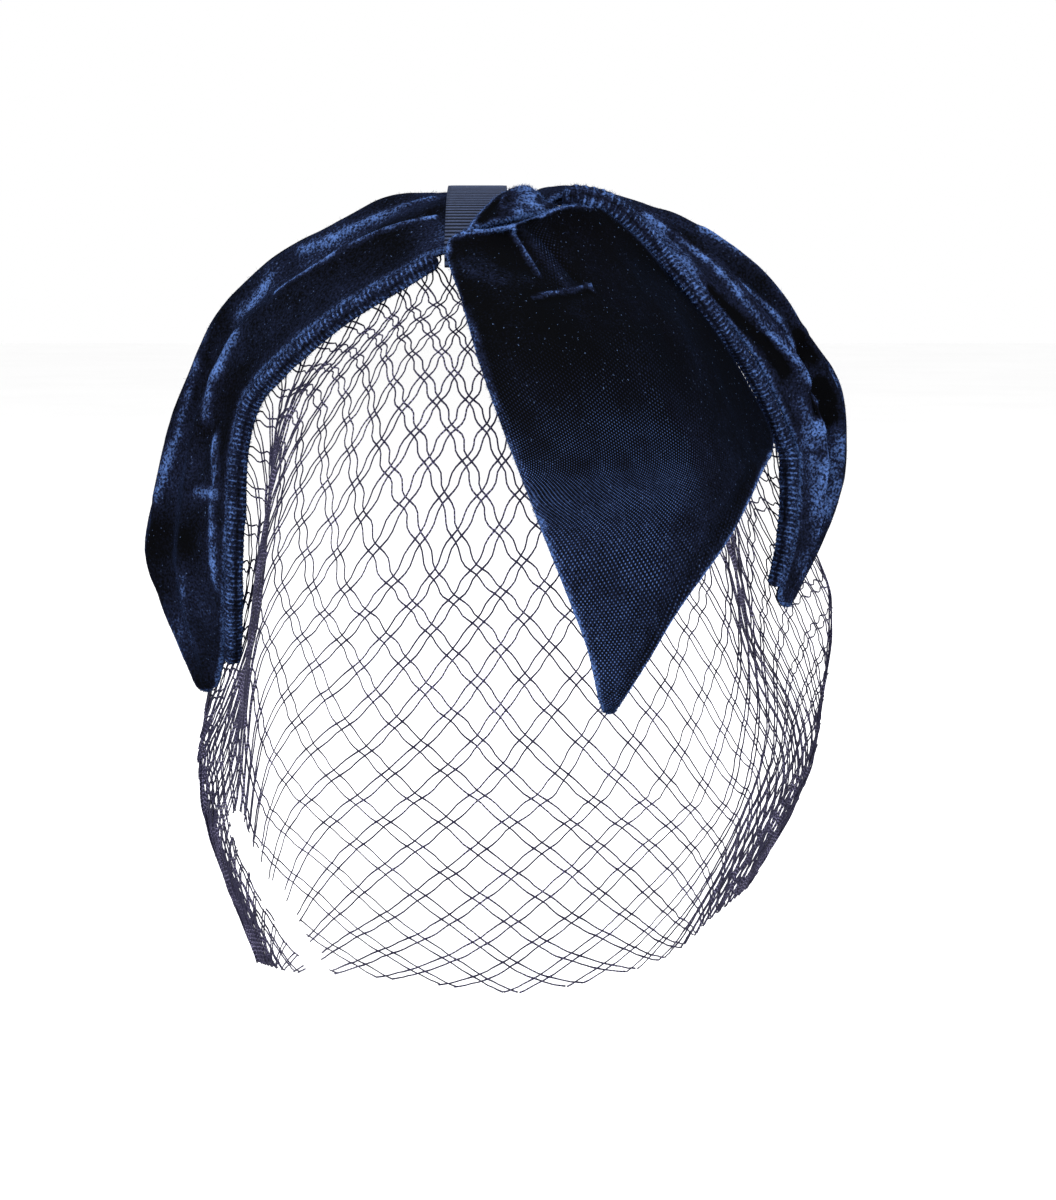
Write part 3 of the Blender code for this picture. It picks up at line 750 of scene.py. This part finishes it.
# name, node, surface, strokes, steps across and down, whether its outer side is turned over, seed,
# height of its unevenness, painted sheen of the whole, painted sheen of the edges, fibres
VELVET_PIECES = (
    ("left_velvet_band", "left_side_band", left_surface, LEFT_STROKES,
     (90, 250), False, 11, 0.50, 0.24, 0.65, 12000),
    ("right_velvet_band", "right_side_band", right_surface, RIGHT_STROKES,
     (90, 250), True, 23, 0.55, 0.25, 0.75, 12000),
    ("velvet_leaf", "front_leaf", leaf_surface, LEAF_STROKES,
     (130, 230), True, 37, 0.40, 0.05, 0.85, 16000),
    ("velvet_crown_fold", "crown_fold", crown_fold_surface, CROWN_FOLD_STROKES,
     (60, 80), True, 41, 0.15, 0.20, 0.8, 2500),
)


def leaf_weave(u, v):
    """How clearly the weave's dots show through the leaf's pile."""
    weave = smooth(v, 0.22, 0.42) * (1 - smooth(u, 0.55, 0.85)) + 0.6 * smooth(v, 0.5, 0.75)
    weave += 0.6 * bump(u - 0.50, 0.06) * bump(v - 0.10, 0.07)
    return np.clip(weave, 0, 1.1)


def make_velvet(velvet):
    for name, node, surface, strokes, steps, flip, seed, *looks, count in VELVET_PIECES:
        if "band" in node:
            last = len(LEFT_BAND if node == "left_side_band" else RIGHT_BAND) - 1
            strokes = [(*sizes, [(c, a / last) for a, c in line]) for *sizes, line in strokes]
        sheet = velvet_sheet(surface, strokes, steps, flip, seed, *looks)
        if node == "front_leaf":
            weave = leaf_weave(sheet["u"], sheet["v"])
            # the leaf is lighter towards the bottom
            sheet["painted_light"] += 0.16 * smooth(sheet["v"], 0.30, 0.75)
        else:
            weave = np.zeros(len(sheet["points"]))
        obj = add_piece(name, velvet_mesh(name, sheet, weave), velvet, [node])
        width, length = (round(value * MM, 3) for value in sheet["size"])
        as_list(RESTS_ON[node])
        fibres(name + "_pile", sheet, count, seed + 7, velvet)


def make_roll(name, node, point, reach, sizes, pitches, seed, velvet):
    """The gathered binding: two rows of small gathers with a groove between them."""
    steps, sides = ROLL_STEPS, ROLL_SIDES
    along = np.linspace(reach[0], reach[1], steps)
    share = np.linspace(0, 1, steps)
    edge, out = point(along, np.zeros(steps))
    behind, _ = point(along, np.full(steps, 0.05))
    way = unit(np.gradient(edge, axis=0))
    ahead = edge - behind
    ahead = unit(ahead - way * (ahead * way).sum(1, keepdims=True))
    size = ROLL_RADIUS * np.interp(share, np.linspace(0, 1, len(sizes)), sizes)
    line = edge + ahead * (size + ROLL_SEAT)[:, None] - out * VELVET_WALL / 2
    run = np.concatenate([[0], np.cumsum(np.linalg.norm(np.diff(line, axis=0), axis=1))])
    pitch = np.interp(share, *zip(*pitches))
    turns = np.concatenate([[0], np.cumsum(np.diff(run) / pitch[1:])])
    angle = np.arange(sides) * 2 * math.pi / sides
    turned = np.angle(np.exp(1j * angle))[None, :]
    phase = 2 * math.pi * turns[:, None] + 1.3 * value_noise(run / 5, run * 0, seed)[:, None] + 1.1 * turned
    ribs = np.cos(phase)
    rows = bump(turned - 0.75, 0.50) + bump(turned + 0.75, 0.50) + 0.5 * bump(np.abs(turned) - 2.0, 0.5)
    groove = ROLL_GROOVE * bump(turned, 0.26)
    from_back = math.pi - np.abs(turned)
    lumps = ROLL_LUMP * value_noise(run / 6, run * 0 + 3, seed + 1)[:, None] * (1 - bump(from_back, 1.0))
    ends = np.sqrt(np.clip(1 - np.clip(1 - np.minimum(run, run[-1] - run) / size, 0, 1) ** 2, 0.02, 1))
    relief = 1 + ROLL_GATHER * ribs * rows - groove + lumps + ROLL_SWELL * bump(from_back, 0.9)
    radius = ROLL_FULLNESS * size[:, None] * relief * ends[:, None]
    points, walls, caps = tube(line, unit(ahead + 0.45 * out), radius, sides)
    uneven_highlight = 0.75 + 0.5 * value_noise(run[:, None] / 1.1, turned * 2.1 + 9, seed + 2)
    # painted light on the roll: painted highlights on the gathers' crests, uneven at random, and painted
    # shade in the groove between the rows
    painted_light = 0.34 + rows * (0.18 + 1.0 * np.clip(ribs, 0, 1) ** 1.5) * uneven_highlight - 1.6 * groove
    painted_light = np.concatenate([np.clip(painted_light, 0, 1.3).ravel(), [0.2, 0.2]])
    cloth = np.stack([np.tile(angle * 2, steps), np.repeat(run, sides)], axis=1)
    cloth = np.vstack([cloth, cloth[:1], cloth[-1:]])
    weave = np.zeros(len(points))
    mesh = new_mesh(name, points, [walls, caps], [("painted_light", painted_light), ("weave", weave)], cloth)
    add_piece(name, mesh, velvet, [node])
    normals = unit(points - np.vstack([np.repeat(line, sides, axis=0), line[:1], line[-1:]]))
    sheet = {"points": points, "normals": normals, "painted_light": painted_light, "edge": np.full(len(points), 3.0)}
    fibres(name + "_pile", sheet, ROLL_FIBRES, seed + 5, velvet)


# name, node, band, its rows where the roll begins and ends, sizes, pitches, seed
ROLLS = (
    ("left_ribbed_roll", "left_edge_roll", left_point, LEFT_ROLL, LEFT_ROLL_SIZES, LEFT_PITCHES, 51),
    ("right_ribbed_roll", "right_edge_roll", right_point, RIGHT_ROLL, RIGHT_ROLL_SIZES, RIGHT_PITCHES, 61),
)


def ribbon_path():
    """The ribbon's closed way round the join of the bands."""
    steps = 60
    over = SEAT_GAP + RIBBON_SLACK + RIBBON_WALL / 2
    under = VELVET_WALL + over
    top, out = left_point(np.zeros(steps + 1), np.linspace(0, 1, steps + 1))
    ends = []
    for k, inner in ((-1, -2), (0, 1)):
        away = unit(top[k] - top[inner])
        middle = top[k] - out[k] * VELVET_WALL / 2
        turn = []
        for angle in np.radians(np.arange(15, 180, 15)):
            reach = VELVET_WALL / 2 + over
            turn.append(middle + out[k] * reach * math.cos(angle) + away * reach * math.sin(angle))
        ends.append(np.array(turn))
    below = (top - out * under)[::-1]
    path = np.vstack([top + out * over, ends[0], below, ends[1][::-1]])
    path[:, 0] = 0
    closed = np.vstack([path, path[:1]])
    run = np.concatenate([[0], np.cumsum(np.linalg.norm(np.diff(closed, axis=0), axis=1))])
    return closed, run


def make_ribbon(ribbon):
    """The ribbon as one closed band with a rib every RIB_PITCH."""
    columns = RIBBON_COLUMNS
    closed, run = ribbon_path()
    count = round(run[-1] / RIB_PITCH) * RIB_STEPS
    at = np.arange(count) * run[-1] / count
    line = np.stack([np.interp(at, run, closed[:, k]) for k in range(3)], axis=1)
    tangent = unit(np.roll(line, -1, axis=0) - np.roll(line, 1, axis=0))
    out = np.cross(tangent, np.array((1.0, 0, 0)))
    if (out * (line - line.mean(0))).sum() < 0:
        out = -out
    wave = 0.5 + 0.5 * np.cos(2 * math.pi * np.arange(count) / RIB_STEPS)
    shares = np.linspace(-0.5, 0.5, columns + 1)
    x = JOIN_X + shares * RIBBON_WIDTH
    selvage = bump(np.abs(shares) - 0.5, 0.05)
    height = RIBBON_WALL / 2 + RIB_HEIGHT * wave[:, None] * (1 - 0.5 * selvage)[None, :]
    grids = []
    for sign in (1, -1):
        points = line[:, None, :] + sign * out[:, None, :] * height[:, :, None]
        points[:, :, 0] = x[None, :]
        grids.append(points)
    points = np.concatenate([g.reshape(-1, 3) for g in grids])
    index = np.arange(count * (columns + 1)).reshape(count, columns + 1)
    ahead = np.roll(index, -1, axis=0)
    top = np.stack([index[:, :-1], index[:, 1:], ahead[:, 1:], ahead[:, :-1]], axis=-1).reshape(-1, 4)
    shift = count * (columns + 1)
    bottom = top[:, ::-1] + shift
    left = np.stack([index[:, 0], ahead[:, 0], ahead[:, 0] + shift, index[:, 0] + shift], axis=-1)
    right = np.stack([index[:, -1], index[:, -1] + shift, ahead[:, -1] + shift, ahead[:, -1]], axis=-1)
    faces = np.vstack([top, bottom, left, right])
    rib = np.repeat(wave, columns + 1)
    mesh = new_mesh("ribbed_ribbon", points, [faces], [("rib", np.concatenate([rib, rib]))])
    obj = add_piece("ribbed_ribbon", mesh, ribbon, ["centre_ribbon"])


def lattice_place(i, j):
    """The veil's across and down for a place in the lattice, counted in half cells."""
    levels = np.arange(len(NET_LEVEL_ROWS))
    level = np.interp(j / 2, NET_LEVEL_ROWS, levels)
    away = i - NET_LEFT_HALVES
    left = away < 0
    s = np.clip(away / np.where(left, NET_LEFT_HALVES, NET_RIGHT_HALVES), -1, 1)
    middle = np.where(
        left, np.interp(level, levels, NET_LEFT_MIDDLE), np.interp(level, levels, NET_RIGHT_MIDDLE)
    )
    power = np.where(left, NET_LEFT_POWER, NET_RIGHT_POWER)
    u = s.copy()
    for _ in range(30):
        size = np.abs(u)
        value = size * (middle + (1 - middle) * size**power) - np.abs(s)
        slope = middle + (power + 1) * (1 - middle) * size**power
        u = np.sign(s) * np.clip(size - value / slope, 0, 1)
    return 0.5 + 0.5 * u, level / levels[-1]


def thread_lines():
    """Each thread of the net: its points, the veil's outward direction there, and its radius."""
    most_i, most_j = NET_LEFT_HALVES + NET_RIGHT_HALVES, 2 * NET_ROWS
    draw = np.random.default_rng(5)
    t = np.linspace(0, most_j, most_j * THREAD_STEPS + 1)
    jog = np.interp(t, *zip(*NET_JOG))
    travel = t + jog * np.sin(2 * math.pi * t) / (2 * math.pi)
    uneven = np.interp(t, (0, most_j), NET_UNEVEN)
    lines = []
    ways = itertools.product((1, -1), range(-most_j, most_i + most_j + 1, 2), (-NET_PAIR, NET_PAIR))
    for family, c, pair in ways:
        i = c + family * travel + pair
        i = i + uneven * value_noise(i / 2.7 + 31, t / 3.1 + 7, 71)
        sag = value_noise(i / 3.3 + 5, t / 2.6 + 17, 72) * smooth(most_j - t, 0, 3)
        j = np.minimum(t + uneven * 0.8 * sag, most_j)
        inside = (i >= 0) & (i <= most_i)
        if inside.sum() < 4:
            continue
        k = np.flatnonzero(inside)
        across, down = lattice_place(i[k], j[k])
        points = veil_surface(across, down)
        e = 2e-3
        du = veil_surface(np.clip(across + e, 0, 1), down) - veil_surface(np.clip(across - e, 0, 1), down)
        dv = veil_surface(across, np.clip(down + e, 0, 1)) - veil_surface(across, np.clip(down - e, 0, 1))
        normal = unit(np.cross(du, dv))
        slack = THREAD_SLACK * value_noise(t[k] / 1.7, np.full(len(k), 3.1 * c + pair), 73)
        points = points + normal * (THREAD_LAYER * family + slack)[:, None]
        crinkle = THREAD_CRINKLE * value_noise(t[k] * 2.4, np.full(len(k), 5.7 * c + 9 * pair), 74)
        points = points + unit(du) * crinkle[:, None] + draw.normal(0, 0.04, points.shape)
        crossing = bump(t[k] - np.round(t[k]), 0.16)
        lines.append((points, normal, THREAD_RADIUS * (1 + 0.25 * crossing)))
    return lines


def torn(lines):
    """Cuts the threads where they cross the tear."""
    tear = np.array([(x, 0, z) for x, z in TEAR], float)
    for points, normal, radius in lines:
        flat = points * np.array((1, 0, 1))
        limit = TEAR_HALF_WIDTH * (1 + 0.5 * value_noise(points[:, 0] / 2, points[:, 2] / 2, 91))
        near = line_distance(flat, tear) < limit
        open_here = near & (points[:, 0] < TEAR_MOST_X) & (points[:, 1] < TEAR_MOST_Y)
        start = None
        for k, gone in enumerate(np.append(open_here, True)):
            if not gone and start is None:
                start = k
            if gone and start is not None:
                if k - start >= 3:
                    yield points[start:k], normal[start:k], radius[start:k]
                start = None


def gathers():
    """Threads of the net's two side edges, drawn together into a loose rope."""
    lines = []
    steps = GATHER_STEPS
    for side, strands, spread in GATHERS:
        down = np.linspace(0.16, 1.0, steps)
        centre = veil_surface(np.full(steps, side), down)
        inner = veil_surface(np.full(steps, abs(side - 0.02)), down)
        towards = unit(inner - centre)
        run = np.concatenate([[0], np.cumsum(np.linalg.norm(np.diff(centre, axis=0), axis=1))])
        tangent = unit(np.gradient(centre, axis=0))
        other = np.cross(tangent, towards)
        for k in range(strands):
            turn = run / 11 + 2 * math.pi * k / strands + 0.8 * value_noise(run / 14, run * 0 + k, 81)
            away = spread * (0.6 + 0.5 * value_noise(run / 8, run * 0 + 2 * k, 82))
            offset = towards * (away * np.cos(turn) + spread)[:, None]
            offset = offset + other * (away * np.sin(turn))[:, None]
            lines.append((centre + offset, other, np.full(steps, THREAD_RADIUS * 1.1)))
    return lines


def make_net(thread):
    """The net in joined pieces, from the left end to the right one."""
    names, starts = zip(*NET_PIECES)
    parts = [[] for _ in names]
    runs = [[] for _ in names]
    for points, normal, radius in [*torn(thread_lines()), *gathers()]:
        k = int(np.searchsorted(starts, points[:, 0].mean())) - 1
        parts[k].append(tube(points, normal, radius, THREAD_SIDES))
        run = np.concatenate([[0], np.cumsum(np.linalg.norm(np.diff(points, axis=0), axis=1))])
        runs[k].append(np.concatenate([np.repeat(run, THREAD_SIDES), run[:1], run[-1:]]))
    for name, tubes, run in zip(names, parts, runs):
        points, faces = joined(tubes)
        mesh = new_mesh(name, points, faces, [("run", np.concatenate(run))])
        add_piece(name, mesh, thread, ["face_veil"])


def make_stage():
    corners = [(x * FLOOR_HALF, y * FLOOR_HALF, FLOOR_Z) for x, y in ((-1, -1), (1, -1), (1, 1), (-1, 1))]
    mesh = bpy.data.meshes.new("floor")
    mesh.from_pydata(corners, [], [(0, 1, 2, 3)])
    floor = bpy.data.objects.new("floor", mesh)
    g = Graph("pale_floor", 0.9, 0.0, (1, 1, 1), 0.5, 0.1)
    tone = g.remap(g.noise(6, 2.0), 0.3, 0.7, 0.0, 1.0)
    colour = g.mix(tone, *FLOOR_TONES)
    mesh.materials.append(g.finish(colour, g.bump(g.noise(90), 0.0005, 0.1)))
    bpy.context.scene.collection.objects.link(floor)
    world = bpy.data.worlds.new("pale")
    world.use_nodes = True
    world.node_tree.nodes["Background"].inputs["Color"].default_value = (1, 1, 1, 1)
    world.node_tree.nodes["Background"].inputs["Strength"].default_value = 1.0
    bpy.context.scene.world = world
    bpy.context.scene.view_settings.view_transform = "Standard"


def make_light(name, place, size, watts):
    data = bpy.data.lights.new(name, "AREA")
    data.shape = "DISK"
    data.size = size
    data.energy = watts
    obj = bpy.data.objects.new(name, data)
    obj.location = place
    obj.rotation_mode = "QUATERNION"
    obj.rotation_quaternion = (LOOK_AT - obj.location).to_track_quat("-Z", "Y")
    bpy.context.scene.collection.objects.link(obj)


def make_camera():
    data = bpy.data.cameras.new("camera")
    data.sensor_width = 36
    data.lens = data.sensor_width / 2 / math.tan(VIEW_ANGLE / 2)
    obj = bpy.data.objects.new("camera", data)
    back = Vector((0, -math.cos(CAMERA_ELEVATION), math.sin(CAMERA_ELEVATION)))
    obj.location = LOOK_AT + back * CAMERA_DISTANCE
    obj.rotation_mode = "QUATERNION"
    obj.rotation_quaternion = (-back).to_track_quat("-Z", "Y")
    bpy.context.scene.collection.objects.link(obj)
    bpy.context.scene.camera = obj


make_camera()
make_stage()
for light in LIGHTS:
    make_light(*light)

velvet = velvet_material("navy_velvet")
make_velvet(velvet)
for roll in ROLLS:
    make_roll(*roll, velvet)
make_ribbon(ribbon_material())
make_net(thread_material())

bpy.context.view_layer.update()
